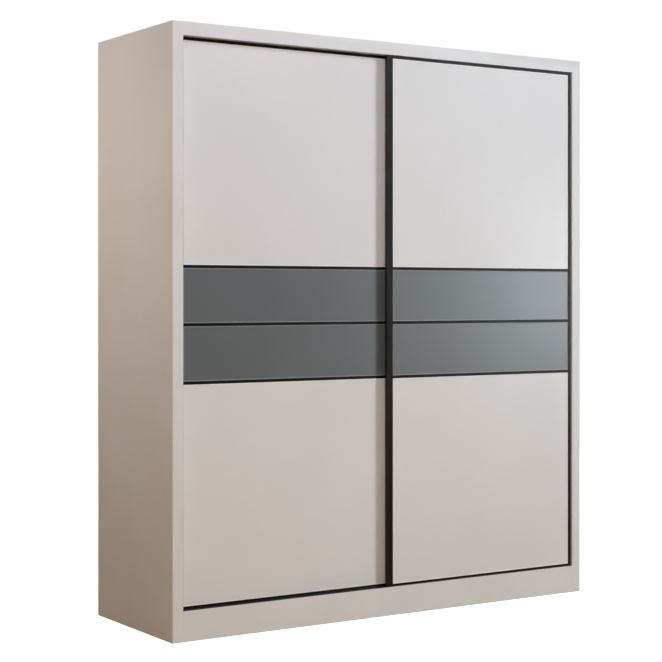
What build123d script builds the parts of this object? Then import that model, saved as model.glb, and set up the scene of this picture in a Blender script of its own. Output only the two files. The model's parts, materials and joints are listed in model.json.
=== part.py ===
"""Sliding door wardrobe with two framed doors, in millimetres.

X runs along the width, +Y to the back and +Z up. The origin is on the floor, under the middle of the body.
"""

import os

from build123d import *

os.makedirs("parts", exist_ok=True)

# Body
width = 1800.0
depth = 600.0
height = 2100.0
board = 18.0  # thickness of every carcass board
stile_width = 40.0  # front surround beside the opening
fascia_height = 46.0
plinth_height = 104.0
lip = 6.0  # fascia left in front of the top track's rebate
arris = 0.8  # eased edges that the hand meets
back_board = 4.0
back_inset = 12.0  # rear edge of the sides to the back panel
groove_depth = 6.5
groove_play = 0.4
tongue_play = 0.5  # back panel edge to the bottom of its groove

# Doors
door_depth = 22.0
door_recess = 6.0  # front of the surround to the front door's face
door_spacing = 3.0  # between the two doors
door_side_gap = 3.0
door_overlap = 46.5
sill_gap = 3.0
head_gap = 2.5
handle_face = 27.6
grip_depth = 10.0  # thickness of the handle's grip lip
grip_reach = 10.0  # width of the finger space behind the lip
outer_face = 13.5
top_rail_face = 9.0
bottom_rail_face = 7.0
top_rail_height = 38.0
bottom_rail_height = 48.0
bottom_hollow = 38.5  # height of the space that takes the wheels
top_hollow = 28.5  # height of the space that takes the guides
bar_face = 10.6
band_middle = 1073.0  # height of the bar between the two bands
band_pitch = 199.0
wall = 1.5  # aluminium extrusion wall
panel_thickness = 7.8
panel_play = 0.2  # each side of a panel in its groove
panel_bite = 8.0  # panel edge held in the handle stile
outer_bite = 6.0  # panel edge held in the outer stile
edge_play = 0.5  # panel edge to the bottom of its groove
screw_radius = 2.0
screw_head_radius = 3.4
screw_head = 2.0
screw_bite = 15.0
screw_play = 0.2

# Running gear
wheel_radius = 13.5
rolling_radius = 11.0  # bottom of the wheel's groove
wheel_width = 5.7
rib_radius = 1.5
rib_height = 3.4
run_gap = 0.3  # wheel to track
axle_radius = 2.0
axle_play = 0.05
carriage_length = 50.0
carriage_plate = 1.2
carriage_setback = 75.0  # door edge to the carriage's middle
guide_length = 40.0
guide_tongue = 6.0
guide_rise = 12.0  # tongue above the track's lower face
guide_play = 0.5  # each side of a guide in its slot
notch_play = 1.0  # stile ends to the track's rib
track_base = 1.6
track_edge = 1.0  # front of the door to the front of the bottom track
track_margin = 6.0  # rear door's back to the back of the tracks
brush_width = 5.0
brush_play = 0.4
buffer_radius = 5.0
buffer_play = 0.4
buffer_heights = (400.0, 1700.0)

# Inside
fitting_gap = 2.0  # tracks to the divider
liner_gap = 1.0  # liner to the divider's front line
shelf_setback = 16.0
shelf_play = 1.0  # each side of a shelf
hat_shelf_height = 1750.0  # floor to the underside
lower_shelves = 3
pin_radius = 2.5
pin_hole_depth = 8.0
pin_reach = 8.0
pin_inset = 50.0
hanging_tube_radius = 12.5
hanging_tube_wall = 1.2
hanging_drop = 60.0  # hat shelf to the tube's axis
socket_radius = 19.0
socket_flange = 3.0
socket_cup = 12.0
socket_cup_wall = 2.0
wall_rail_height = 80.0
wall_hole_radius = 3.0
wall_hole_spacing = 900.0
cam_radius = 7.5
cam_depth = 12.3
cam_offset = 34.0  # board end to the cam's middle
cam_setback = 150.0  # each side of the body's middle
cam_bolt_radius = 3.0
cam_bolt_bite = 8.0  # bolt screwed into a side panel
cam_bolt_gap = 0.5  # bolt's end to the cam
rear_plinth_setback = 50.0
brace_spacing = 450.0
joiner_web = 1.6
joiner_flange = 1.2
joiner_width = 24.0

# Lines that the pieces share
right = width / 2
front = -depth / 2
rear = depth / 2
inner = right - board
jamb = right - stile_width
lintel = height - fascia_height
ceiling = height - board
face_back = front + board
door_front = front + door_recess
door_pitch = door_depth + door_spacing
door_right = jamb - door_side_gap
door_width = jamb - door_side_gap + door_overlap / 2
door_left = door_right - door_width
door_low = plinth_height + sill_gap
door_high = lintel - head_gap
doors_back = door_front + door_pitch + door_depth
tracks_back = doors_back + track_margin
fittings_front = tracks_back + fitting_gap
back_front = rear - back_inset - back_board
panel_zone = wall + panel_play + panel_thickness + panel_play
web_back = panel_zone + wall
chamber_middle = (web_back + door_depth - wall) / 2
chamber_width = door_depth - wall - web_back
run_lines = (door_front + chamber_middle, door_front + chamber_middle + door_pitch)
rib_top = plinth_height + track_base + rib_height
wheel_height = rib_top + run_gap + rolling_radius
wheel_places = (door_left + carriage_setback, door_right - carriage_setback)
shelf_front = fittings_front + shelf_setback
pin_depths = (shelf_front + pin_inset, back_front - pin_inset)


def block(x, y, z):
    """A box between a low and a high value on each axis."""
    size = Box(x[1] - x[0], y[1] - y[0], z[1] - z[0], align=(Align.MIN,) * 3)
    return Pos(x[0], y[0], z[0]) * size


def bar_y(outline, y):
    """A board facing Y with an outline of (x, z) points."""
    wire = Polyline([(a, y[0], b) for a, b in outline], close=True)
    return extrude(make_face(wire), amount=y[1] - y[0], dir=(0, 1, 0))


def bar_z(outline, z):
    """A post along Z with an outline of (x, y) points."""
    wire = Polyline([(a, b, z[0]) for a, b in outline], close=True)
    return extrude(make_face(wire), amount=z[1] - z[0], dir=(0, 0, 1))


def rod_x(x, y, z, radius):
    """A round rod along X."""
    shape = Cylinder(radius, x[1] - x[0], align=(Align.CENTER, Align.CENTER, Align.MIN))
    return Pos(x[0], y, z) * Rot(0, 90, 0) * shape


def rod_y(x, y, z, radius):
    """A round rod along Y."""
    shape = Cylinder(radius, y[1] - y[0], align=(Align.CENTER, Align.CENTER, Align.MIN))
    return Pos(x, y[0], z) * Rot(-90, 0, 0) * shape


def rod_z(x, y, z, radius):
    """A round rod along Z."""
    shape = Cylinder(radius, z[1] - z[0], align=(Align.CENTER, Align.CENTER, Align.MIN))
    return Pos(x, y, z[0]) * shape


def other_side(shape):
    """The same piece on the other side of the body."""
    return mirror(shape, about=Plane.YZ)


def pair(shape):
    """A piece and its mirror image."""
    return [shape, other_side(shape)]


def group(shapes):
    """Separate solids under one name."""
    return Compound([solid for shape in shapes for solid in shape.solids()])


def on_line(edge, x, y):
    """Whether an upright edge stands at x, y."""
    middle = edge.center()
    return abs(middle.X - x) < 0.01 and abs(middle.Y - y) < 0.01


def on_edge(edge, y, z):
    """Whether a level edge runs at y, z."""
    middle = edge.center()
    return abs(middle.Y - y) < 0.01 and abs(middle.Z - z) < 0.01


def grooves():
    """Space that the back panels take in the boards round them."""
    x = inner + groove_depth
    low = plinth_height - groove_depth
    high = ceiling + groove_depth
    return block((-x, x), (back_front, back_front + back_board + groove_play), (low, high))


def shelf_heights():
    """Undersides of the shelves in the right bay, the hat shelf first."""
    step = (hat_shelf_height - plinth_height) / (lower_shelves + 1)
    return [hat_shelf_height - step * i for i in range(lower_shelves + 1)]


def pins(x, heights):
    """Shelf pins from x[0] to x[1] under shelves at the given heights."""
    return [rod_x(x, y, z - pin_radius, pin_radius) for z in heights for y in pin_depths]


def cam_locks(bolt_start):
    """Bolts and cams at the right-hand end of the top and bottom boards, let in from below."""
    bolts = []
    cams = []
    x = inner - cam_offset
    for underside in (ceiling, plinth_height - board):
        for y in (-cam_setback, cam_setback):
            bolt_x = (x + bolt_start, inner + cam_bolt_bite)
            bolts.append(rod_x(bolt_x, y, underside + board / 2, cam_bolt_radius))
            cams.append(rod_z(x, y, (underside, underside + cam_depth), cam_radius))
    return bolts + cams


def carcass_boards():
    """Sides, top, bottom and divider, with the cam locks that join them."""
    locks = [piece for lock in cam_locks(cam_radius + cam_bolt_gap) for piece in pair(lock)]
    lock_spaces = [space for lock in cam_locks(0) for space in pair(lock)]
    side_outline = [
        (right, front + arris),
        (right - arris / 2, front + arris / 2),
        (inner, face_back),
        (inner, rear),
        (right, rear),
    ]
    plain_side = bar_z(side_outline, (0, height)) - grooves() - lock_spaces
    right_side = plain_side - pins((inner - pin_reach, inner + pin_hole_depth), shelf_heights())
    hat_pins = pins((-inner - pin_hole_depth, pin_reach - inner), [hat_shelf_height])
    level = block((-inner, inner), (face_back, rear), (ceiling, height))
    lower_level = block((-inner, inner), (face_back, rear), (plinth_height - board, plinth_height))
    half = board / 2
    divider = block((-half, half), (fittings_front, back_front), (plinth_height, ceiling))
    divider -= pins((half - pin_hole_depth, half + pin_reach), shelf_heights())
    divider -= pins((-half - pin_reach, pin_hole_depth - half), [hat_shelf_height])
    return {
        "side_panel_right": right_side,
        "side_panel_left": other_side(plain_side) - hat_pins,
        "top_panel": level - grooves() - lock_spaces,
        "bottom_panel": lower_level - grooves() - lock_spaces,
        "divider": divider,
        "cam_locks": group(locks),
    }


def surround():
    """Stiles, fascia and plinth, mitred round the front of the body."""
    frame_run = [
        (arris - right, front),
        (right - arris, front),
        (right - arris / 2, front + arris / 2),
        (inner, face_back),
        (-inner, face_back),
        (arris / 2 - right, front + arris / 2),
    ]
    ring = bar_z(frame_run, (0, height))
    stile_face = [(jamb, 0), (right, 0), (right, height), (jamb, lintel)]
    stile = ring & bar_y(stile_face, (front, face_back))
    fascia_face = [(-jamb, lintel), (jamb, lintel), (right, height), (-right, height)]
    fascia = ring & bar_y(fascia_face, (front, face_back))
    fascia -= block((-jamb, jamb), (front + lip, face_back), (lintel, ceiling))
    plinth = block((-jamb, jamb), (front, face_back), (0, plinth_height))
    stile_edge = [e for e in stile.edges().filter_by(Axis.Z) if on_line(e, jamb, front)]
    fascia_edges = fascia.edges().filter_by(Axis.X)
    lower_edge = [e for e in fascia_edges if on_edge(e, front, lintel) or on_edge(e, front, height)]
    plinth_edge = [e for e in plinth.edges().filter_by(Axis.X) if on_edge(e, front, plinth_height)]
    stile = fillet(stile_edge, arris)
    rear_plinth = rear - rear_plinth_setback
    brace_top = plinth_height - board
    brace = block((-board / 2, board / 2), (face_back, rear_plinth - board), (0, brace_top))
    return {
        "stile_right": stile,
        "stile_left": other_side(stile),
        "top_fascia": fillet(lower_edge, arris),
        "plinth_front": fillet(plinth_edge, arris),
        "plinth_rear": block((-inner, inner), (rear_plinth - board, rear_plinth), (0, brace_top)),
        "plinth_braces": group([Pos(brace_spacing * i, 0, 0) * brace for i in (-1, 0, 1)]),
        "jamb_liners": group(
            pair(block((jamb, inner), (face_back, fittings_front - liner_gap), (plinth_height, ceiling)))
        ),
    }


def back():
    """Back panels, the strip that joins them, and the rails that screw to the wall."""
    low = plinth_height - groove_depth + tongue_play
    high = ceiling + groove_depth - tongue_play
    outer = inner + groove_depth - tongue_play
    y = (back_front, back_front + back_board)
    panel = block((joiner_web / 2, outer), y, (low, high))
    rail_low = ceiling - wall_rail_height
    rail = block((board / 2, inner), (back_front - board, back_front), (rail_low, ceiling))
    bore = (back_front - board, back_front + back_board)
    hole = rod_y(wall_hole_spacing / 2, bore, ceiling - wall_rail_height / 2, wall_hole_radius)
    panel -= hole
    rail -= hole
    web = block((-joiner_web / 2, joiner_web / 2), y, (plinth_height, ceiling))
    flange_y = (back_front + back_board, back_front + back_board + joiner_flange)
    flange = block((-joiner_width / 2, joiner_width / 2), flange_y, (plinth_height, ceiling))
    return {
        "back_panel_right": panel,
        "back_panel_left": other_side(panel),
        "wall_rails": group(pair(rail)),
        "back_joiner": web + flange,
    }


def tracks():
    """Bottom track with a rounded rib for each door, and top track with a slot for each door."""
    x = (-jamb, jamb)
    y = (door_front + track_edge, tracks_back)
    base_top = plinth_height + track_base
    bottom = block(x, y, (plinth_height, base_top))
    top = block(x, (front + lip, tracks_back), (lintel, ceiling))
    hollow = (lintel + wall, ceiling - wall)
    half_slot = guide_tongue / 2 + guide_play
    last_wall = front + lip
    for line in run_lines:
        round_middle = rib_top - rib_radius
        bottom += block(x, (line - rib_radius, line + rib_radius), (base_top, round_middle))
        bottom += rod_x(x, line, round_middle, rib_radius)
        channel = (line - half_slot - wall, line + half_slot + wall)
        top -= block(x, (line - half_slot, line + half_slot), (lintel, lintel + wall))
        top -= block(x, channel, hollow)
        top -= block(x, (last_wall + wall, channel[0] - wall), hollow)
        last_wall = channel[1]
    top -= block(x, (last_wall + wall, tracks_back - wall), hollow)
    return {"bottom_track": bottom, "top_track": top}


def buffers():
    """Soft buffers on the jamb liners that the door edges meet at each end of their travel."""
    shapes = []
    x = (door_right + buffer_play, jamb)
    for line in run_lines:
        for z in buffer_heights:
            shapes += pair(rod_x(x, line, z, buffer_radius))
    return {"door_buffers": group(shapes)}


def inside():
    """Shelves, their pins, and the hanging tube with its sockets."""
    half = board / 2
    shelf_x = (half + shelf_play, inner - shelf_play)
    shelf_y = (shelf_front, back_front)
    shelves = [block(shelf_x, shelf_y, (z, z + board)) for z in shelf_heights()]
    names = ["shelf_right_hat"] + [f"shelf_right_{i}" for i in range(1, lower_shelves + 1)]
    pieces = dict(zip(names, shelves))
    pieces["shelf_left_hat"] = other_side(shelves[0])
    all_pins = pins((inner - pin_reach, inner + pin_hole_depth), shelf_heights())
    all_pins += pins((half - pin_hole_depth, half + pin_reach), shelf_heights())
    all_pins += pins((-half - pin_reach, pin_hole_depth - half), [hat_shelf_height])
    all_pins += pins((-inner - pin_hole_depth, pin_reach - inner), [hat_shelf_height])
    pieces["shelf_pins"] = group(all_pins)
    tube_y = (fittings_front + back_front) / 2
    tube_z = hat_shelf_height - hanging_drop
    ends = (-inner + socket_flange, -half - socket_flange)
    tube = rod_x(ends, tube_y, tube_z, hanging_tube_radius)
    bore = rod_x(ends, tube_y, tube_z, hanging_tube_radius - hanging_tube_wall)
    pieces["hanging_tube"] = tube - bore
    sockets = []
    for face, way in ((-inner, 1), (-half, -1)):
        flange = (face, face + way * socket_flange)
        cup = (flange[1], flange[1] + way * socket_cup)
        shape = rod_x(sorted(flange), tube_y, tube_z, socket_radius)
        shape += rod_x(sorted(cup), tube_y, tube_z, hanging_tube_radius + socket_cup_wall)
        shape -= rod_x(sorted(cup), tube_y, tube_z, hanging_tube_radius)
        sockets.append(shape)
    pieces["tube_sockets"] = group(sockets)
    return pieces


def held(points, x0, way):
    """Outline points given from a door's edge inwards and from its face backwards."""
    return [(x0 + way * u, door_front + d) for u, d in points]


def screw_heights():
    """Heights of the screws in the solid part of each rail, clear of its hollow."""
    low = door_low + (bottom_hollow + bottom_rail_height) / 2
    high = door_high - (top_hollow + top_rail_height) / 2
    return (low, high)


def stiles():
    """Handle stile with its grip lip, and outer stile, with the screws that hold the rails."""
    z = (door_low, door_high)
    bottom_of_groove = handle_face - panel_bite
    groove = [(bottom_of_groove, wall), (bottom_of_groove, panel_zone), (handle_face, panel_zone)]
    outline = [(0, 0), (handle_face, 0), (handle_face, wall)] + groove
    outline += [(handle_face, door_depth), (grip_reach, door_depth), (grip_reach, grip_depth), (0, grip_depth)]
    handle = bar_z(held(outline, door_left, 1), z)
    lip_hollow = [
        (wall, wall),
        (bottom_of_groove - wall, wall),
        (bottom_of_groove - wall, grip_depth - wall),
        (wall, grip_depth - wall),
    ]
    box_hollow = [
        (grip_reach + wall, web_back),
        (handle_face - wall, web_back),
        (handle_face - wall, door_depth - wall),
        (grip_reach + wall, door_depth - wall),
    ]
    handle -= bar_z(held(lip_hollow, door_left, 1), z)
    handle -= bar_z(held(box_hollow, door_left, 1), z)
    edge_groove = outer_face - outer_bite
    outline = [
        (0, 0),
        (outer_face, 0),
        (outer_face, wall),
        (edge_groove, wall),
        (edge_groove, panel_zone),
        (outer_face, panel_zone),
        (outer_face, door_depth),
        (0, door_depth),
    ]
    hollow = [
        (wall, wall),
        (edge_groove - wall, wall),
        (edge_groove - wall, web_back),
        (outer_face - wall, web_back),
        (outer_face - wall, door_depth - wall),
        (wall, door_depth - wall),
    ]
    outer = bar_z(held(outline, door_right, -1), z)
    outer -= bar_z(held(hollow, door_right, -1), z)
    notch_y = (run_lines[0] - rib_radius - notch_play, run_lines[0] + rib_radius + notch_play)
    notch = block((door_left, door_right), notch_y, (door_low, rib_top + notch_play))
    handle -= notch
    outer -= notch
    y = door_front + chamber_middle
    screws = []
    for height_here in screw_heights():
        for edge, way, mouth, face in (
            (door_left, 1, grip_reach, handle_face),
            (door_right, -1, 0, outer_face),
        ):
            access = sorted((edge + way * mouth, edge + way * (mouth + wall)))
            through = sorted((edge + way * (face - wall), edge + way * face))
            shank = sorted((edge + way * (face - wall), edge + way * (face + screw_bite)))
            head = sorted((edge + way * (face - wall - screw_head), edge + way * (face - wall)))
            cut = rod_x(access, y, height_here, screw_head_radius + screw_play)
            cut += rod_x(through, y, height_here, screw_radius)
            if way > 0:
                handle -= cut
            else:
                outer -= cut
            screws.append(
                rod_x(shank, y, height_here, screw_radius)
                + rod_x(head, y, height_here, screw_head_radius)
            )
    return {"handle_stile": handle, "outer_stile": outer, "screws": group(screws)}


def rails():
    """Top and bottom rails, each with a groove for the panel and a hollow behind it."""
    x = (door_left + handle_face, door_right - outer_face)
    y0 = door_front
    back_wall = y0 + door_depth - wall
    groove = (y0 + wall, y0 + panel_zone)
    hollow = (y0 + web_back, back_wall)
    y = (y0, y0 + door_depth)
    low = (door_low, door_low + bottom_rail_height)
    bottom = block(x, (groove[1], y[1]), low)
    bottom += block(x, (y0, groove[1]), (low[0], low[0] + wall))
    bottom += block(x, (y0, groove[0]), (low[0], low[0] + bottom_rail_face))
    bottom -= block(x, hollow, (low[0], low[0] + bottom_hollow))
    high = (door_high - top_rail_height, door_high)
    top = block(x, (groove[1], y[1]), high)
    top += block(x, (y0, groove[1]), (high[1] - wall, high[1]))
    top += block(x, (y0, groove[0]), (high[1] - top_rail_face, high[1]))
    top -= block(x, hollow, (high[1] - top_hollow, high[1]))
    for z in screw_heights():
        hole = rod_x(x, y0 + chamber_middle, z, screw_radius)
        bottom -= hole
        top -= hole
    return {"bottom_rail": bottom, "top_rail": top}


def infill():
    """Panels and bands, with the three bars that part them."""
    x = (door_left + handle_face, door_right - outer_face)
    panel_x = (x[0] - panel_bite + edge_play, x[1] + outer_bite - edge_play)
    y = (door_front + wall + panel_play, door_front + wall + panel_play + panel_thickness)
    middles = [band_middle + band_pitch * i for i in (-1, 0, 1)]
    bars = []
    for z in middles:
        half = bar_face / 2
        bar = block(x, (door_front, door_front + wall), (z - half, z + half))
        bar += block(x, (door_front + wall, door_front + panel_zone), (z - wall / 2, z + wall / 2))
        bar += block(x, (door_front + panel_zone, door_front + web_back), (z - half, z + half))
        bars.append(bar)
    gap = wall / 2 + edge_play
    lows = [door_low + wall + edge_play] + [z + gap for z in middles]
    highs = [z - gap for z in middles] + [door_high - wall - edge_play]
    names = ("lower_panel", "lower_band", "upper_band", "upper_panel")
    pieces = {name: block(panel_x, y, span) for name, span in zip(names, zip(lows, highs))}
    pieces["bars"] = group(bars)
    return pieces


def running_gear():
    """Wheels on axles in their carriages, guides for the top track, and the brush seal."""
    line = run_lines[0]
    roof = door_low + bottom_hollow
    outside = (line - chamber_width / 2, line + chamber_width / 2)
    cheeks = (outside[0] + carriage_plate, outside[1] - carriage_plate)
    floor = wheel_height - 2 * axle_radius
    carriages = []
    axles = []
    wheels = []
    guides = []
    for x in wheel_places:
        length = (x - carriage_length / 2, x + carriage_length / 2)
        carriage = block(length, outside, (floor, roof))
        carriage -= block(length, cheeks, (floor, roof - carriage_plate))
        axle = rod_y(x, outside, wheel_height, axle_radius)
        carriages.append(carriage - axle)
        axles.append(axle)
        wheel_y = (line - wheel_width / 2, line + wheel_width / 2)
        wheel = rod_y(x, wheel_y, wheel_height, wheel_radius)
        wheel -= rod_y(x, wheel_y, wheel_height, axle_radius + axle_play)
        ring = Torus(rolling_radius + rib_radius + run_gap, rib_radius + run_gap)
        wheels.append(wheel - Pos(x, line, wheel_height) * Rot(90, 0, 0) * ring)
        guide_x = (x - guide_length / 2, x + guide_length / 2)
        guide = block(guide_x, outside, (door_high - top_hollow, door_high))
        tongue = (line - guide_tongue / 2, line + guide_tongue / 2)
        guides.append(guide + block(guide_x, tongue, (door_high, lintel + guide_rise)))
    brush_x = door_left + grip_reach + brush_width
    brush_y = (door_front + door_depth, door_front + door_pitch - brush_play)
    brush = block((brush_x, brush_x + brush_width), brush_y, (door_low, door_high))
    return {
        "carriages": group(carriages),
        "axles": group(axles),
        "handle_wheel": wheels[0],
        "outer_wheel": wheels[1],
        "top_guides": group(guides),
        "brush_seal": brush,
    }


nodes = {}
nodes.update(carcass_boards())
nodes.update(surround())
nodes.update(back())
nodes.update(tracks())
nodes.update(buffers())
nodes.update(inside())
door = {**stiles(), **rails(), **infill(), **running_gear()}
for name, shape in door.items():
    nodes[f"front_door_{name}"] = shape
    nodes[f"rear_door_{name}"] = Pos(0, door_pitch, 0) * other_side(shape)

for name, shape in nodes.items():
    export_step(shape, f"parts/{name}.step")
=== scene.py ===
import json
import math
import random

import bmesh
import bpy
from mathutils import Matrix, Vector


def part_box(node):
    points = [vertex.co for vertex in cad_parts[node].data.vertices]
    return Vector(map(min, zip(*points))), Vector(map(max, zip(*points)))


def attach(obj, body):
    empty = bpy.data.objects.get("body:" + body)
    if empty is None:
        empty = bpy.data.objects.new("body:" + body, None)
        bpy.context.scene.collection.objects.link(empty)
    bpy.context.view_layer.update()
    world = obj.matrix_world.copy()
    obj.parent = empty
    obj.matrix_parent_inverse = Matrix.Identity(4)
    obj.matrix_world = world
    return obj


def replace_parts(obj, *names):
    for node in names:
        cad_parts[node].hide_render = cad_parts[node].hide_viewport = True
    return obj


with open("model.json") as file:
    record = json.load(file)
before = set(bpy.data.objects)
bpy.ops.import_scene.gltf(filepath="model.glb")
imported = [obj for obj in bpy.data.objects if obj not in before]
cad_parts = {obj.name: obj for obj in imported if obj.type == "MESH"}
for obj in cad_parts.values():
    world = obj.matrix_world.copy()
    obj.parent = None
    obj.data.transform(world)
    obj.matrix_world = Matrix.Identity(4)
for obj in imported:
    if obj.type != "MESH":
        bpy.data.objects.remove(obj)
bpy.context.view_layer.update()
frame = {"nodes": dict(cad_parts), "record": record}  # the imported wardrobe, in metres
mm = 0.001
doors = ("front_door", "rear_door")
bodies = frame["record"]["behaviour"]["bodies"]
bodyOf = {node: body for body, nodes in bodies.items() for node in nodes}
slotOf = {node: piece.material_slots[0].material.name for node, piece in frame["nodes"].items()}
print("frame loaded:", len(bodyOf), "nodes")


def toLinear(hexColour):  # sRGB hex to the linear colour that a shader takes
    values = [int(hexColour[i:i + 2], 16) / 255 for i in (1, 3, 5)]
    return [v / 12.92 if v <= 0.04045 else ((v + 0.055) / 1.055) ** 2.4 for v in values] + [1]


# a node with its settings, fed by the given sockets;
# a lower-case setting is the node's own, any other is one of its inputs
def addNode(tree, kind, settings=None, links=None):
    node = tree.nodes.new(kind)
    for name, value in (settings or {}).items():
        if isinstance(name, str) and name[0].islower():
            setattr(node, name, value)
        else:
            node.inputs[name].default_value = value
    for name, source in (links or {}).items():
        tree.links.new(source, node.inputs[name])
    return node


# nearly all the noise lies between lowest and highest
mottle = {"detail": 3, "lowest": 0.3, "highest": 0.7}


# soft random patches of a real size, whose values run from reach[0] to reach[1]
def patches(tree, place, sizeMm, reach, stretch=(1, 1, 1)):
    scale = [1 / (sizeMm * mm * factor) for factor in stretch]
    spread = addNode(tree, "ShaderNodeMapping", {"Scale": scale}, {"Vector": place})
    settings = {"Scale": 1, "Detail": mottle["detail"]}
    noise = addNode(tree, "ShaderNodeTexNoise", settings, {"Vector": spread.outputs[0]})
    limits = {
        "From Min": mottle["lowest"], "From Max": mottle["highest"],
        "To Min": reach[0], "To Max": reach[1],
    }
    return addNode(tree, "ShaderNodeMapRange", limits, {"Value": noise.outputs[0]}).outputs[0]


rubShare = (0.25, 1)  # how much of a rim's colour shows, from the least rubbed spots to the most


# a shader whose colour drifts a little and changes where hands rub the edges;
# inputs 6 and 7 of a colour mix are its two colours, and input 0 its share
def startMaterial(name, look):
    material = bpy.data.materials.new(name)
    material.use_nodes = True
    tree = material.node_tree
    tree.nodes.clear()
    shader = addNode(tree, "ShaderNodeBsdfPrincipled", look["shader"])
    addNode(tree, "ShaderNodeOutputMaterial", {}, {"Surface": shader.outputs[0]})
    place = addNode(tree, "ShaderNodeTexCoord").outputs["Object"]
    stretch = look.get("stretch", (1, 1, 1))
    drift = patches(tree, place, look["driftMm"], (0, 1), stretch)
    colours = {"data_type": "RGBA", 6: toLinear(look["colour"]), 7: toLinear(look["drift"])}
    tone = addNode(tree, "ShaderNodeMix", colours, {0: drift})
    rim = addNode(tree, "ShaderNodeAttribute", {"attribute_name": "rim"})
    rubbing = patches(tree, place, look["rubMm"], rubShare)
    factors = {0: rim.outputs["Fac"], 1: rubbing}
    rubbed = addNode(tree, "ShaderNodeMath", {"operation": "MULTIPLY"}, factors)
    rimColour = {"data_type": "RGBA", 7: toLinear(look["rim"])}
    base = addNode(tree, "ShaderNodeMix", rimColour, {0: rubbed.outputs[0], 6: tone.outputs[2]})
    gloss = patches(tree, place, look["glossMm"], look["roughness"], stretch)
    tree.links.new(base.outputs[2], shader.inputs["Base Color"])
    tree.links.new(gloss, shader.inputs["Roughness"])
    return material, tree, shader, place


def addRelief(tree, shader, height, depthMm):  # raises the surface by height times the depth
    bump = addNode(tree, "ShaderNodeBump", {"Distance": depthMm * mm}, {"Height": height})
    tree.links.new(bump.outputs[0], shader.inputs["Normal"])


melamine = {
    "colour": "#e2e3e3", "drift": "#dcdcdb", "rim": "#efefee",
    "driftMm": 320, "rubMm": 45, "glossMm": 90, "roughness": (0.36, 0.46),
    "pearlMm": 3, "depthMm": 0.05,
    "shader": {"IOR": 1.5, "Specular IOR Level": 0.45},
}


# the same facing pressed against rough release paper, for a board out of sight: hardly any shine
mattFacing = {
    **melamine, "roughness": (0.72, 0.84),
    "shader": {"IOR": 1.5, "Specular IOR Level": 0.2},
}


def melamineBoard(name, look):
    # melamine-faced chipboard pressed on etched plates: even white
    # with a fine pearl that softens highlights
    material, tree, shader, place = startMaterial(name, look)
    # the real pearl is 1 mm; drawn coarser so that it shows
    pearl = patches(tree, place, look["pearlMm"], (0, 1))
    addRelief(tree, shader, pearl, look["depthMm"])
    return material


edging = {
    "colour": "#dddbd6", "drift": "#d6d3cd", "rim": "#e9e7e3",
    "driftMm": 200, "rubMm": 30, "glossMm": 60, "roughness": (0.26, 0.36),
    "lineMm": 1.5, "lineStretch": (40, 1, 40), "depthMm": 0.03,
    "shader": {"IOR": 1.53},
}


def absEdging(look=edging):
    # ABS edge band, extruded and glued on, then scraped: a shade yellower
    # and glossier, with faint lengthwise lines
    material, tree, shader, place = startMaterial("absEdging", look)
    lines = patches(tree, place, look["lineMm"], (0, 1), look["lineStretch"])
    addRelief(tree, shader, lines, look["depthMm"])
    return material


chipboard = {
    "colour": "#c19a66", "drift": "#a97f4e", "rim": "#b58d5c",
    "driftMm": 60, "rubMm": 20, "glossMm": 15, "roughness": (0.75, 0.95),
    "chipMm": 3.5, "chipStretch": (0.5, 1.6, 1), "flakeShare": 0.55,
    "fleck": "#7d5a35", "pale": "#dcbf8f", "depthMm": 0.35,
    "shader": {"IOR": 1.45, "Specular IOR Level": 0.2},
}


def sawnChipboard(look=chipboard):
    # bare chipboard at a saw cut: pressed wood flakes of many browns,
    # dull, with small pits between them
    material, tree, shader, place = startMaterial("sawnChipboard", look)
    flat = addNode(tree, "ShaderNodeMapping", {"Scale": look["chipStretch"]}, {"Vector": place})
    grid = {"Scale": 1 / (look["chipMm"] * mm), "Randomness": 1}
    chips = addNode(tree, "ShaderNodeTexVoronoi", grid, {"Vector": flat.outputs[0]})
    shade = addNode(tree, "ShaderNodeSeparateColor", {}, {"Color": chips.outputs["Color"]})
    colours = {"data_type": "RGBA", 6: toLinear(look["fleck"]), 7: toLinear(look["pale"])}
    flakes = addNode(tree, "ShaderNodeMix", colours, {0: shade.outputs[0]})
    base = shader.inputs["Base Color"]
    ground = base.links[0].from_socket
    share = {"data_type": "RGBA", 0: look["flakeShare"]}
    mixed = addNode(tree, "ShaderNodeMix", share, {6: ground, 7: flakes.outputs[2]})
    tree.links.new(mixed.outputs[2], base)
    addRelief(tree, shader, chips.outputs["Distance"], look["depthMm"])
    return material


lacquer = {
    "colour": "#e2e2e2", "drift": "#dddddd", "rim": "#f0f0f0",
    "driftMm": 420, "rubMm": 60, "glossMm": 160, "roughness": (0.34, 0.42),
    "peelMm": 6, "depthMm": 0.035,
    "shader": {"IOR": 1.5, "Coat Weight": 0.25, "Coat Roughness": 0.22, "Coat IOR": 1.5},
}


def sprayedLacquer(look=lacquer):
    # MDF sprayed with satin lacquer: smooth neutral white,
    # a soft broad sheen broken by a faint orange peel
    material, tree, shader, place = startMaterial("sprayedLacquer", look)
    # the real peel is 2 mm; drawn coarser so that it shows
    peel = patches(tree, place, look["peelMm"], (0, 1))
    addRelief(tree, shader, peel, look["depthMm"])
    return material


glass = {
    "colour": "#5f6568", "drift": "#5a6063", "rim": "#9aa3a4",
    "driftMm": 380, "rubMm": 50, "glossMm": 240, "roughness": (0.3, 0.36),
    "waveMm": 140, "depthMm": 0.04,
    "shader": {"IOR": 1.52, "Coat Weight": 1.0, "Coat Roughness": 0.34, "Coat IOR": 1.52},
}


def etchedGlass(look=glass):
    # float glass, acid-etched in front and enamelled grey behind:
    # cool grey under a clear satin gloss, slightly wavy
    material, tree, shader, place = startMaterial("etchedGlass", look)
    wave = patches(tree, place, look["waveMm"], (0, 1))
    addRelief(tree, shader, wave, look["depthMm"])
    return material


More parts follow.
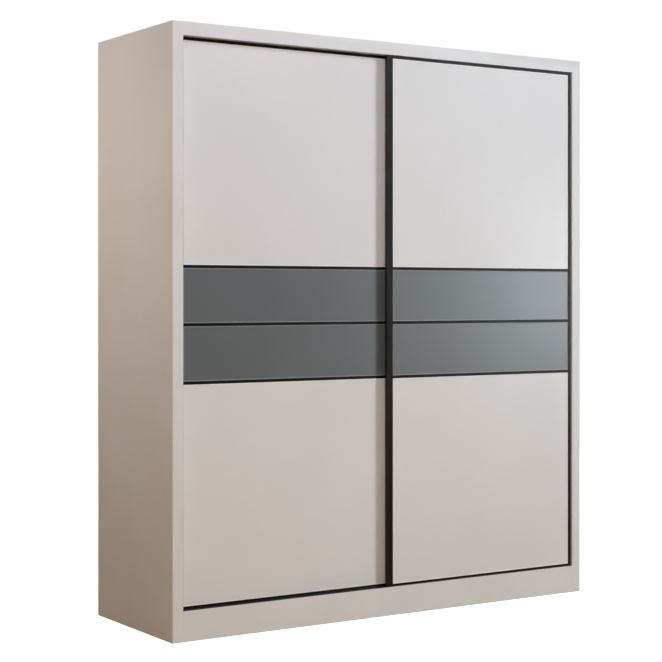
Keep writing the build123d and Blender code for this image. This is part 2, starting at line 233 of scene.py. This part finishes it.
anodising = {
    "colour": "#34312f", "drift": "#2b2927", "rim": "#5f5b58",
    "driftMm": 2.5, "rubMm": 25, "glossMm": 2, "roughness": (0.3, 0.46),
    "dieLineMm": 1.6, "run": 160, "depthMm": 0.02,
    "shader": {"Metallic": 1.0},
}


def anodisedAluminium(direction, look=anodising):
    # extruded aluminium, brushed and anodised near black: dark metal
    # with fine lines along the bar and paler worn edges
    runs = {"upright": (1, 1, look["run"]), "level": (look["run"], 1, 1)}
    own = {**look, "stretch": runs[direction]}
    material, tree, shader, place = startMaterial(f"anodisedAluminium_{direction}", own)
    # the real lines are 0.1 mm; drawn coarser so that they show
    lines = patches(tree, place, look["dieLineMm"], (0, 1), runs[direction])
    addRelief(tree, shader, lines, look["depthMm"])
    return material


powder = {
    "colour": "#dcdbd8", "drift": "#d3d2ce", "rim": "#c9c8c5",
    "driftMm": 180, "rubMm": 30, "glossMm": 40, "roughness": (0.42, 0.55),
    "grainMm": 1.5, "depthMm": 0.06,
    "shader": {"IOR": 1.5},
}


def powderCoat(look=powder):
    # aluminium track with baked powder coat: off-white, satin, slightly pebbled
    material, tree, shader, place = startMaterial("powderCoat", look)
    addRelief(tree, shader, patches(tree, place, look["grainMm"], (0, 1)), look["depthMm"])
    return material


fibreboard = {
    "colour": "#8a6641", "drift": "#795736", "rim": "#6d4d2f",
    "driftMm": 70, "rubMm": 20, "glossMm": 25, "roughness": (0.7, 0.9),
    "meshMm": 5, "waver": 0.6, "fibreMm": 4, "fibreStretch": (6, 1, 1), "fibreHeight": 0.6,
    "depthMm": 0.25,
    "shader": {"IOR": 1.45, "Specular IOR Level": 0.25},
}


wavePeriod = math.pi / 10  # metres between the bands of a wave texture of scale 1


def wetPressedHardboard(look=fibreboard):
    # hardboard pressed on a wire screen: brown fibres under a woven grid of small dents
    material, tree, shader, place = startMaterial("wetPressedHardboard", look)
    # the real screen is 2 mm; drawn coarser so that it shows
    waveScale = wavePeriod / (look["meshMm"] * mm)
    threads = []
    for direction in ("X", "Z"):
        settings = {"bands_direction": direction, "Scale": waveScale, "Distortion": look["waver"]}
        threads.append(addNode(tree, "ShaderNodeTexWave", settings, {"Vector": place}).outputs["Fac"])
    crossing = {0: threads[0], 1: threads[1]}
    weave = addNode(tree, "ShaderNodeMath", {"operation": "MULTIPLY"}, crossing)
    fibres = patches(tree, place, look["fibreMm"], (0, look["fibreHeight"]), look["fibreStretch"])
    raised = {0: weave.outputs[0], 1: fibres}
    height = addNode(tree, "ShaderNodeMath", {"operation": "ADD"}, raised)
    addRelief(tree, shader, height.outputs[0], look["depthMm"])
    return material


foil = {
    "colour": "#dcdad5", "drift": "#d6d3cd", "rim": "#cfccc5",
    "driftMm": 240, "rubMm": 30, "glossMm": 120, "roughness": (0.45, 0.58),
    "fibreMm": 7, "fibreStretch": (5, 1, 1), "depthMm": 0.06,
    "shader": {"IOR": 1.48},
}


def printedFoil(look=foil):
    # paper foil glued to hardboard: flat warm white with the fibres just telling through
    material, tree, shader, place = startMaterial("printedFoil", look)
    fibres = patches(tree, place, look["fibreMm"], (0, 1), look["fibreStretch"])
    addRelief(tree, shader, fibres, look["depthMm"])
    return material


plating = {
    "colour": "#b4b8bb", "drift": "#c2bfa9", "rim": "#d3d6d8",
    "driftMm": 14, "rubMm": 6, "glossMm": 5, "roughness": (0.24, 0.44),
    "grainMm": 1.2, "depthMm": 0.02,
    "shader": {"Metallic": 1.0},
}


def zincPlatedSteel(look=plating):
    # pressed steel, zinc plated and passivated: silvery with faint yellow clouds and a cloudy shine
    material, tree, shader, place = startMaterial("zincPlatedSteel", look)
    addRelief(tree, shader, patches(tree, place, look["grainMm"], (0, 1)), look["depthMm"])
    return material


chroming = {
    "colour": "#d7dadd", "drift": "#cfd3d7", "rim": "#e8eaec",
    "driftMm": 60, "rubMm": 15, "glossMm": 8, "roughness": (0.07, 0.16),
    "polishMm": 1.5, "polishStretch": (60, 1, 1), "depthMm": 0.004,
    "shader": {"Metallic": 1.0},
}


def chromedSteel(look=chroming):
    # steel tube polished lengthwise and chromed: bright mirror
    # with hair-fine lines that draw highlights out
    material, tree, shader, place = startMaterial("chromedSteel", look)
    lines = patches(tree, place, look["polishMm"], (0, 1), look["polishStretch"])
    addRelief(tree, shader, lines, look["depthMm"])
    return material


nylon = {
    "driftMm": 40, "rubMm": 8, "glossMm": 12, "roughness": (0.38, 0.52),
    "sparkMm": 0.9, "depthMm": 0.03,
    "tones": {
        "dark": ("#2b2c2f", "#242528", "#4c4d51"),
        "pale": ("#d9d6cc", "#cfcbbf", "#e6e3da"),
    },
    "shader": {"IOR": 1.53, "Subsurface Weight": 0.05, "Subsurface Scale": 0.001},
}


def mouldedNylon(tone, look=nylon):
    # nylon moulded in a spark-eroded tool: matt skin with a fine even grain,
    # rubbed paler at its edges
    colour, drift, rim = look["tones"][tone]
    own = {**look, "colour": colour, "drift": drift, "rim": rim}
    material, tree, shader, place = startMaterial(f"mouldedNylon_{tone}", own)
    addRelief(tree, shader, patches(tree, place, look["sparkMm"], (0, 1)), look["depthMm"])
    return material


pile = {
    "colour": "#3a3b3d", "drift": "#2e2f31", "rim": "#56585a",
    "driftMm": 9, "rubMm": 5, "glossMm": 3, "roughness": (0.7, 0.9),
    "fibreMm": 0.6, "fibreStretch": (1, 6, 1), "depthMm": 0.1,
    "shader": {"IOR": 1.49, "Sheen Weight": 0.4, "Sheen Roughness": 0.5},
}


def wovenPile(look=pile):
    # polypropylene pile woven into a strip: dull grey fibres
    # with a soft halo of light at their tips
    material, tree, shader, place = startMaterial("wovenPile", look)
    fibres = patches(tree, place, look["fibreMm"], (0, 1), look["fibreStretch"])
    addRelief(tree, shader, fibres, look["depthMm"])
    return material


rubber = {
    "colour": "#8f8f8d", "drift": "#868684", "rim": "#a5a5a3",
    "driftMm": 12, "rubMm": 4, "glossMm": 5, "roughness": (0.5, 0.65),
    "grainMm": 0.8, "depthMm": 0.04,
    "shader": {"IOR": 1.5, "Subsurface Weight": 0.1, "Subsurface Scale": 0.002},
}


def mouldedRubber(look=rubber):
    # soft thermoplastic rubber, moulded: grey, slightly cloudy, no sharp highlights
    material, tree, shader, place = startMaterial("mouldedRubber", look)
    addRelief(tree, shader, patches(tree, place, look["grainMm"], (0, 1)), look["depthMm"])
    return material


bead = {
    "driftMm": 90, "rubMm": 20, "glossMm": 30, "roughness": (0.32, 0.42),
    "skinMm": 12, "depthMm": 0.01,
    # the tones are set paler than the panels they edge: painted highlight for the bright line along
    # each panel's edge
    "tones": {
        "white": ("#f6f6f5", "#f1f1f0", "#f6f6f5"),
        "grey": ("#8d9595", "#868e8e", "#8d9595"),
    },
    "shader": {"IOR": 1.53, "Coat Weight": 0.15, "Coat Roughness": 0.3},
}


def extrudedVinyl(tone, look=bead):
    # soft vinyl glazing bead, extruded: satin, with a crown that catches a thin line of light;
    # its tone, paler than its panel, is partly painted highlight for the bright line along each panel's
    # edge
    colour, drift, rim = look["tones"][tone]
    own = {**look, "colour": colour, "drift": drift, "rim": rim}
    material, tree, shader, place = startMaterial(f"extrudedVinyl_{tone}", own)
    addRelief(tree, shader, patches(tree, place, look["skinMm"], (0, 1)), look["depthMm"])
    return material


finishes = {
    "board": melamineBoard("melamineBoard", melamine),
    "mattBoard": melamineBoard("mattMelamineBoard", mattFacing),
    "edging": absEdging(),
    "chipboard": sawnChipboard(),
    "doorPanel": sprayedLacquer(),
    "doorBand": etchedGlass(),
    "uprightFrame": anodisedAluminium("upright"),
    "levelFrame": anodisedAluminium("level"),
    "topTrack": powderCoat(),
    "backBoard": wetPressedHardboard(),
    "backFoil": printedFoil(),
    "zinc": zincPlatedSteel(),
    "chrome": chromedSteel(),
    "darkNylon": mouldedNylon("dark"),
    "paleNylon": mouldedNylon("pale"),
    "pile": wovenPile(),
    "buffer": mouldedRubber(),
    "whiteBead": extrudedVinyl("white"),
    "greyBead": extrudedVinyl("grey"),
}
print("materials made:", len(finishes))


# edges shorter than longEdge stay sharp; faces that meet within flatDegrees are merged
easing = {"weldMm": 0.002, "longEdgeMm": 3.5, "sharpDegrees": 35, "flatDegrees": 0.5, "segments": 2}


# the node's shape with every long sharp edge rounded, and those rounds marked as rims
def easedMesh(node, edgeMm):
    mesh = bmesh.new()
    mesh.from_mesh(frame["nodes"][node].data)
    bmesh.ops.remove_doubles(mesh, verts=mesh.verts, dist=easing["weldMm"] * mm)
    flat = math.radians(easing["flatDegrees"])
    bmesh.ops.dissolve_limit(mesh, angle_limit=flat, verts=mesh.verts, edges=mesh.edges)
    sharp = math.radians(easing["sharpDegrees"])
    rim = mesh.faces.layers.float.new("rim")
    if edgeMm:
        longEdges = [edge for edge in mesh.edges if edge.calc_length() > easing["longEdgeMm"] * mm]
        corners = [edge for edge in longEdges if edge.calc_face_angle(0) > sharp]
        rounding = {"offset": edgeMm * mm, "segments": easing["segments"], "profile": 0.5}
        for face in bmesh.ops.bevel(mesh, geom=corners, affect="EDGES", **rounding)["faces"]:
            face[rim] = 1
    return mesh


# a finished bmesh as a shaded object that rides on its body
def toPiece(mesh, name, materials, body):
    sharp = math.radians(easing["sharpDegrees"])
    for edge in mesh.edges:
        edge.smooth = edge.calc_face_angle(0) < sharp
    for face in mesh.faces:
        face.smooth = True
    data = bpy.data.meshes.new(name)
    mesh.to_mesh(data)
    mesh.free()
    for material in materials:
        data.materials.append(finishes[material])
    piece = bpy.data.objects.new(name, data)
    bpy.context.scene.collection.objects.link(piece)
    evenNormals = piece.modifiers.new("evenNormals", "WEIGHTED_NORMAL")
    evenNormals.keep_sharp = True
    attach(piece, body)
    return piece


def cutMesh(mesh, cutter):  # takes the cutter's closed shapes out of the mesh
    objects = []
    for name, part in (("cutTarget", mesh), ("cutTool", cutter)):
        data = bpy.data.meshes.new(name)
        part.to_mesh(data)
        part.free()
        objects.append(bpy.data.objects.new(name, data))
        bpy.context.scene.collection.objects.link(objects[-1])
    target, tool = objects
    cut = target.modifiers.new("cut", "BOOLEAN")
    cut.operation = "DIFFERENCE"
    cut.solver = "EXACT"
    cut.object = tool
    evaluated = target.evaluated_get(bpy.context.evaluated_depsgraph_get())
    result = bmesh.new()
    result.from_mesh(evaluated.to_mesh())
    for used in objects:
        data = used.data
        bpy.data.objects.remove(used)
        bpy.data.meshes.remove(data)
    return result


sides = {"front": (0, -1, 0), "rear": (0, 1, 0), "underside": (0, 0, -1)}
sameWay = 0.99  # a face whose normal lies this near a direction looks along it


# gives the faces on one side of a piece another of its materials
def matchFaces(mesh, side, material):
    way = Vector(sides[side])
    for face in mesh.faces:
        if face.normal.dot(way) > sameWay:
            face.material_index = material


pinRows = {
    "radiusMm": 2.5, "depthMm": 9, "sides": 12, "lowMm": 230, "highMm": 1990,
    "stepsBetweenShelves": 13, "shelves": 3,
}


# rows of blind shelf-pin holes in the board face at faceX, clear of the holes that hold a pin
def drilledRows(faceX, filled):
    low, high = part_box("shelf_pins")
    radius = pinRows["radiusMm"] * mm
    topPin = high.z - radius
    lowPin = low.z + radius
    pitch = (topPin - lowPin) / (pinRows["shelves"] * pinRows["stepsBetweenShelves"])
    first = math.ceil((pinRows["lowMm"] * mm - topPin) / pitch)
    last = math.floor((pinRows["highMm"] * mm - topPin) / pitch)
    drill = bmesh.new()
    depth = 2 * pinRows["depthMm"] * mm  # the drill stands half out of the board
    size = {"radius1": radius, "radius2": radius, "depth": depth, "segments": pinRows["sides"]}
    turn = Matrix.Rotation(math.pi / 2, 4, "Y")
    for step in range(first, last + 1):
        if step in filled:
            continue
        for y in (low.y + radius, high.y - radius):
            place = Matrix.Translation((faceX, y, topPin + step * pitch)) @ turn
            bmesh.ops.create_cone(drill, cap_ends=True, matrix=place, **size)
    return drill


# how far each kind of board's edges are rounded; the crisp ones are rounded as little as the sides
boardEdges = {
    "sideMm": 0.2, "edgeMm": 0.6, "shelfMm": 0.8,
    "crisp": ("top_panel", "bottom_panel", "stile_left", "stile_right", "top_fascia"),
}


def sidePanels():  # the side panels and the divider, drilled with rows of shelf-pin holes
    hatOnly = [0]
    everyShelf = [-pinRows["stepsBetweenShelves"] * i for i in range(pinRows["shelves"] + 1)]
    for side, faceX, filled in (
        ("left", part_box("side_panel_left")[1].x, hatOnly),
        ("right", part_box("side_panel_right")[0].x, everyShelf),
    ):
        node = f"side_panel_{side}"
        mesh = cutMesh(easedMesh(node, boardEdges["sideMm"]), drilledRows(faceX, filled))
        matchFaces(mesh, "rear", 1)
        matchFaces(mesh, "underside", 1)
        piece = toPiece(mesh, f"{node}_board", ["board", "chipboard"], bodyOf[node])
        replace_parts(piece, node)
    low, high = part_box("divider")
    mesh = cutMesh(easedMesh("divider", boardEdges["edgeMm"]), drilledRows(low.x, hatOnly))
    mesh = cutMesh(mesh, drilledRows(high.x, everyShelf))
    matchFaces(mesh, "front", 1)
    piece = toPiece(mesh, "divider_board", ["board", "edging"], bodyOf["divider"])
    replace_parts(piece, "divider")


def plainBoards():  # the other boards: shelves have a banded front edge, and every rear edge stays sawn
    nodes = [node for node, slot in slotOf.items() if slot == "white_board"]
    for node in nodes:
        if node.startswith("side_panel") or node == "divider":
            continue
        isShelf = node.startswith("shelf")
        edge = "shelfMm" if isShelf else "sideMm" if node in boardEdges["crisp"] else "edgeMm"
        mesh = easedMesh(node, boardEdges[edge])
        if isShelf:
            matchFaces(mesh, "front", 1)
        matchFaces(mesh, "rear", 2)
        facing = "mattBoard" if node == "top_panel" else "board"
        materials = [facing, "edging", "chipboard"]
        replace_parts(toPiece(mesh, f"{node}_board", materials, bodyOf[node]), node)


def backPanels():  # hardboard with its foil face inwards
    for node in ("back_panel_left", "back_panel_right"):
        mesh = easedMesh(node, 0)
        matchFaces(mesh, "front", 1)
        materials = ["backBoard", "backFoil"]
        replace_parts(toPiece(mesh, f"{node}_sheet", materials, bodyOf[node]), node)


doorEdges = {"frameMm": 0.35, "trackMm": 0.3, "panelMm": 0.6}


def doorParts():  # extrusions and panels of both doors, and the tracks
    upright = ("handle_stile", "outer_stile")
    level = ("bottom_rail", "top_rail", "bars")
    for door in doors:
        for part in upright + level:
            node = f"{door}_{part}"
            mesh = easedMesh(node, doorEdges["frameMm"])
            finish = "uprightFrame" if part in upright else "levelFrame"
            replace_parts(toPiece(mesh, f"{node}_extrusion", [finish], bodyOf[node]), node)
        for part in ("lower_panel", "lower_band", "upper_band", "upper_panel"):
            node = f"{door}_{part}"
            finish = "doorBand" if part.endswith("band") else "doorPanel"
            mesh = easedMesh(node, doorEdges["panelMm"])
            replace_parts(toPiece(mesh, f"{node}_infill", [finish], bodyOf[node]), node)
    for node, finish in (("bottom_track", "levelFrame"), ("top_track", "topTrack")):
        mesh = easedMesh(node, doorEdges["trackMm"])
        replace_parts(toPiece(mesh, f"{node}_extrusion", [finish], bodyOf[node]), node)


# a bead's own section, and the face heights of the rails and bars that it stands against
beads = {
    "widthMm": 3.2, "riseMm": 0.9, "sunkMm": 0.05, "steps": 6,
    "bottomFaceMm": 7, "topFaceMm": 9, "barFaceMm": 10.6,
}


# a crowned bead round the inside of one panel's opening
def glazingBead(name, x, z, panelFront, finish, body):
    mesh = bmesh.new()
    corners = ((x[0], z[0], 1, 1), (x[1], z[0], -1, 1), (x[1], z[1], -1, -1), (x[0], z[1], 1, -1))
    width = beads["widthMm"] * mm
    rings = []
    for cornerX, cornerZ, wayX, wayZ in corners:
        ring = []
        for step in range(beads["steps"] + 1):
            angle = math.pi * step / beads["steps"]
            inwards = width * (1 - math.cos(angle)) / 2
            y = panelFront - (beads["riseMm"] * math.sin(angle) - beads["sunkMm"]) * mm
            ring.append(mesh.verts.new((cornerX + wayX * inwards, y, cornerZ + wayZ * inwards)))
        rings.append(ring)
    for here, after in zip(rings, rings[1:] + rings[:1]):
        for i in range(len(here)):
            j = (i + 1) % len(here)
            mesh.faces.new((here[i], here[j], after[j], after[i]))
    bmesh.ops.recalc_face_normals(mesh, faces=mesh.faces)
    return toPiece(mesh, name, [finish], body)


def glazingBeads():  # one bead round each panel and band of each door
    half = beads["barFaceMm"] * mm / 2
    for door in doors:
        stiles = [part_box(f"{door}_handle_stile"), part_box(f"{door}_outer_stile")]
        stiles.sort(key=lambda box: box[0].x)
        x = (stiles[0][1].x, stiles[1][0].x)
        barLow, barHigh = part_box(f"{door}_bars")
        bars = (barLow.z + half, (barLow.z + barHigh.z) / 2, barHigh.z - half)
        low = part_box(f"{door}_bottom_rail")[0].z + beads["bottomFaceMm"] * mm
        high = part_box(f"{door}_top_rail")[1].z - beads["topFaceMm"] * mm
        edges = [low] + [z + way * half for z in bars for way in (-1, 1)] + [high]
        for i, part in enumerate(("lower_panel", "lower_band", "upper_band", "upper_panel")):
            finish = "greyBead" if part.endswith("band") else "whiteBead"
            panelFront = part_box(f"{door}_{part}")[0].y
            glazingBead(f"{door}_{part}_bead", x, edges[2 * i:2 * i + 2], panelFront, finish, door)


# root and tip are shares of the tuft's thickness, shortest a share of its length
brush = {
    "backingMm": 0.8, "rows": 3, "spacingMm": 3, "tuftMm": 1.1, "leanMm": 0.35,
    "root": 0.8, "tip": 0.5, "shortest": 0.9, "sides": 5, "seed": 7,
}


def brushSeals():  # a backing strip with tufts of pile that fill its CAD space
    random.seed(brush["seed"])
    for door in doors:
        node = f"{door}_brush_seal"
        low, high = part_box(node)
        strip = bmesh.new()
        thick = brush["backingMm"] * mm
        size = Vector((high.x - low.x, thick, high.z - low.z))
        middle = Vector(((low.x + high.x) / 2, low.y + thick / 2, (low.z + high.z) / 2))
        place = Matrix.Translation(middle) @ Matrix.Diagonal((*size, 1))
        bmesh.ops.create_cube(strip, size=1, matrix=place)
        rounding = {"offset": thick / 4, "segments": 2, "profile": 0.5}
        bmesh.ops.bevel(strip, geom=strip.edges, affect="EDGES", **rounding)
        length = high.y - low.y - thick / 2
        spacing = brush["spacingMm"] * mm
        count = int((high.z - low.z) / spacing) - 1
        for row in range(brush["rows"]):
            for i in range(count):
                lean = brush["leanMm"] * mm * random.uniform(-1, 1)
                x = low.x + (high.x - low.x) * (row + 0.5) / brush["rows"]
                z = low.z + spacing * (i + 1 + 0.5 * (row % 2))  # every other row stands half a step on
                way = Vector((lean, length * random.uniform(brush["shortest"], 1), lean))
                turn = way.to_track_quat("Z", "Y").to_matrix().to_4x4()
                place = Matrix.Translation(Vector((x, low.y + thick / 2, z)) + way / 2) @ turn
                radius = brush["tuftMm"] * mm / 2
                ends = {"radius1": radius * brush["root"], "radius2": radius * brush["tip"]}
                tuft = {**ends, "depth": way.length, "segments": brush["sides"]}
                bmesh.ops.create_cone(strip, cap_ends=True, matrix=place, **tuft)
        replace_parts(toPiece(strip, f"{node}_pile", ["pile"], bodyOf[node]), node)


recess = {"reachMm": 4.4, "slotMm": 0.9, "depthMm": 1.1}


# crossed slots for a screwdriver, centred on each given point
def crossCutter(centres, axis, scale):
    cutter = bmesh.new()
    turn = Vector(axis).to_track_quat("Z", "Y").to_matrix().to_4x4()
    reach, slot, depth = (recess[key] * mm * scale for key in ("reachMm", "slotMm", "depthMm"))
    for centre in centres:
        outline = crossOutline(reach / 2, slot / 2)
        place = Matrix.Translation(centre) @ turn
        lower = [cutter.verts.new(place @ Vector((x, y, -depth))) for x, y in outline]
        upper = [cutter.verts.new(place @ Vector((x, y, depth))) for x, y in outline]
        cutter.faces.new(lower[::-1])
        cutter.faces.new(upper)
        for i in range(len(outline)):
            j = (i + 1) % len(outline)
            cutter.faces.new((lower[i], lower[j], upper[j], upper[i]))
    return cutter


def crossOutline(reach, slot):  # the twelve corners of a plus sign
    quarter = [(reach, slot), (slot, slot), (slot, reach)]
    points = []
    for turn in range(4):
        angle = turn * math.pi / 2
        cos, sin = round(math.cos(angle)), round(math.sin(angle))
        points += [(x * cos - y * sin, x * sin + y * cos) for x, y in quarter]
    return points


screws = {"headRadiusMm": 3.4}


def recessedScrews():  # each door's corner screws, with a cross in every head
    headRadius = screws["headRadiusMm"] * mm
    for door in doors:
        node = f"{door}_screws"
        low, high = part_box(node)
        y = (low.y + high.y) / 2
        mesh = easedMesh(node, 0)
        heights = (low.z + headRadius, high.z - headRadius)
        heads = [Vector((x, y, z)) for x in (low.x, high.x) for z in heights]
        mesh = cutMesh(mesh, crossCutter(heads, (1, 0, 0), 1))
        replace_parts(toPiece(mesh, f"{node}_cross", ["zinc"], bodyOf[node]), node)


cams = {"fromEndMm": 42, "spacingMm": 300, "scale": 2.2}


def recessedCams():  # the cam locks, with a cross in each face under the top and bottom panels
    low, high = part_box("cam_locks")
    x = high.x - cams["fromEndMm"] * mm
    half = cams["spacingMm"] * mm / 2
    undersides = (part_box("top_panel")[0].z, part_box("bottom_panel")[0].z)
    faces = [Vector((way * x, y, z)) for way in (-1, 1) for y in (-half, half) for z in undersides]
    mesh = cutMesh(easedMesh("cam_locks", 0), crossCutter(faces, (0, 0, 1), cams["scale"]))
    piece = toPiece(mesh, "cam_locks_cross", ["zinc"], bodyOf["cam_locks"])
    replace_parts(piece, "cam_locks")


def keptFittings():  # CAD pieces whose shape is right, with their better materials
    kept = {
        "zinc_steel": "zinc", "bright_steel": "chrome", "dark_nylon": "darkNylon",
        "pale_nylon": "paleNylon", "soft_rubber": "buffer",
    }
    for node, piece in frame["nodes"].items():
        if not piece.hide_render:
            piece.material_slots[0].material = finishes[kept[slotOf[node]]]


sidePanels()
plainBoards()
backPanels()
print("carcass made")
doorParts()
glazingBeads()
brushSeals()
recessedScrews()
recessedCams()
keptFittings()
print("doors and fittings made")


studio = {
    "floor": "#fdfdfb", "floorGlow": 1.0, "bounce": "#b69c7c", "floorMetres": 60,
    "floorRoughness": 0.9, "floorSpecular": 0.1,
    "backdrop": "#ffffff", "ambient": "#ffffff", "ambientStrength": 0.08,
}
# where each stands, where it points and its size, in metres; power in watts;
# spread in degrees, 180 where none is given
softboxes = {
    "lowKeyLight": {
        "place": (4.6, -4.0, 1.3), "aim": (0.9, -0.3, 1.3), "size": (1.6, 1.2),
        "watts": 54, "colour": "#effaff",
    },
    "highKeyLight": {
        "place": (6.4, -5.6, 5.2), "aim": (0, -0.3, 1.5), "size": (2.2, 2.0),
        "watts": 390, "colour": "#e4f0ff",
    },
    "fillLight": {
        "place": (-3.2, -5.4, 3.6), "aim": (-0.1, -0.3, 1.7), "size": (2.4, 2.0),
        "watts": 127, "colour": "#ffe9ca",
    },
    "upperFillLight": {
        "place": (-3.2, -5.4, 4.2), "aim": (-0.1, -0.3, 2.1), "size": (2.4, 1.6),
        "watts": 10, "colour": "#bfdaff", "spread": 50,
    },
    "lowerFillLight": {
        "place": (-3.0, -5.4, 1.3), "aim": (-0.1, -0.3, 0.5), "size": (2.2, 1.2),
        "watts": 2.6, "colour": "#ffb830", "spread": 60,
    },
    "sideLight": {
        "place": (-3.0, 0.9, 2.6), "aim": (-0.9, 0.15, 1.5), "size": (0.8, 0.8),
        "watts": 6, "colour": "#ffe8d8", "spread": 75,
    },
    "rearLight": {
        "place": (3.2, 5.2, 3.2), "aim": (0, 0.3, 1.1), "size": (3.0, 2.0),
        "watts": 160, "colour": "#fff8f0",
    },
}


# wide pale floor; its bounce is warmer and dimmer than it looks, as from a wooden floor
def studioFloor():
    mesh = bmesh.new()
    bmesh.ops.create_grid(mesh, x_segments=8, y_segments=8, size=studio["floorMetres"] / 2)
    data = bpy.data.meshes.new("studioFloor")
    mesh.to_mesh(data)
    mesh.free()
    material = bpy.data.materials.new("paintedFloor")
    material.use_nodes = True
    tree = material.node_tree
    shader = tree.nodes["Principled BSDF"]
    shader.inputs["Roughness"].default_value = studio["floorRoughness"]
    shader.inputs["Specular IOR Level"].default_value = studio["floorSpecular"]
    seen = addNode(tree, "ShaderNodeLightPath").outputs["Is Camera Ray"]
    colours = {"data_type": "RGBA", 6: toLinear(studio["bounce"]), 7: toLinear(studio["floor"])}
    tone = addNode(tree, "ShaderNodeMix", colours, {0: seen})
    strength = {"operation": "MULTIPLY", 1: studio["floorGlow"]}
    glow = addNode(tree, "ShaderNodeMath", strength, {0: seen})
    tree.links.new(tone.outputs[2], shader.inputs["Base Color"])
    tree.links.new(glow.outputs[0], shader.inputs["Emission Strength"])
    shader.inputs["Emission Color"].default_value = toLinear(studio["floor"])
    data.materials.append(material)
    floor = bpy.data.objects.new("studioFloor", data)
    bpy.context.scene.collection.objects.link(floor)


def addSoftbox(name, box):  # a rectangular light that faces its aim
    light = bpy.data.lights.new(name, "AREA")
    light.shape = "RECTANGLE"
    light.size, light.size_y = box["size"]
    light.energy = box["watts"]
    light.color = toLinear(box["colour"])[:3]
    light.spread = math.radians(box.get("spread", 180))
    lamp = bpy.data.objects.new(name, light)
    lamp.location = box["place"]
    way = Vector(box["aim"]) - Vector(box["place"])
    lamp.rotation_euler = way.to_track_quat("-Z", "Y").to_euler()
    bpy.context.scene.collection.objects.link(lamp)


def studioWorld():  # white to the eye, and a faint even light from all round
    world = bpy.data.worlds.new("studioWorld")
    world.use_nodes = True
    tree = world.node_tree
    tree.nodes.clear()
    ambient = {"Color": toLinear(studio["ambient"]), "Strength": studio["ambientStrength"]}
    glow = addNode(tree, "ShaderNodeBackground", ambient)
    white = {"Color": toLinear(studio["backdrop"]), "Strength": 1}
    backdrop = addNode(tree, "ShaderNodeBackground", white)
    seen = addNode(tree, "ShaderNodeLightPath").outputs["Is Camera Ray"]
    parts = {0: seen, 1: glow.outputs[0], 2: backdrop.outputs[0]}
    mixed = addNode(tree, "ShaderNodeMixShader", {}, parts)
    addNode(tree, "ShaderNodeOutputWorld", {}, {"Surface": mixed.outputs[0]})
    bpy.context.scene.world = world


# place and reach in metres, turn in degrees, lens and sensor in millimetres
cameraView = {
    "place": (-3.4338, -5.2876, 1.1745), "turn": -33.43, "reach": 200,
    "lens": 89.82, "sensor": 36, "shift": (-0.045, -0.0544),
}


def addCamera():  # level, so that the wardrobe's uprights stay upright in the picture
    camera = bpy.data.cameras.new("camera")
    camera.lens = cameraView["lens"]
    camera.sensor_width = cameraView["sensor"]
    camera.shift_x, camera.shift_y = cameraView["shift"]
    camera.clip_end = cameraView["reach"]
    holder = bpy.data.objects.new("camera", camera)
    holder.location = cameraView["place"]
    holder.rotation_euler = (math.pi / 2, 0, math.radians(cameraView["turn"]))
    bpy.context.scene.collection.objects.link(holder)
    bpy.context.scene.camera = holder


studioFloor()
studioWorld()
for name, box in softboxes.items():
    addSoftbox(name, box)
addCamera()
bpy.context.scene.view_settings.view_transform = "Standard"
print("studio made")
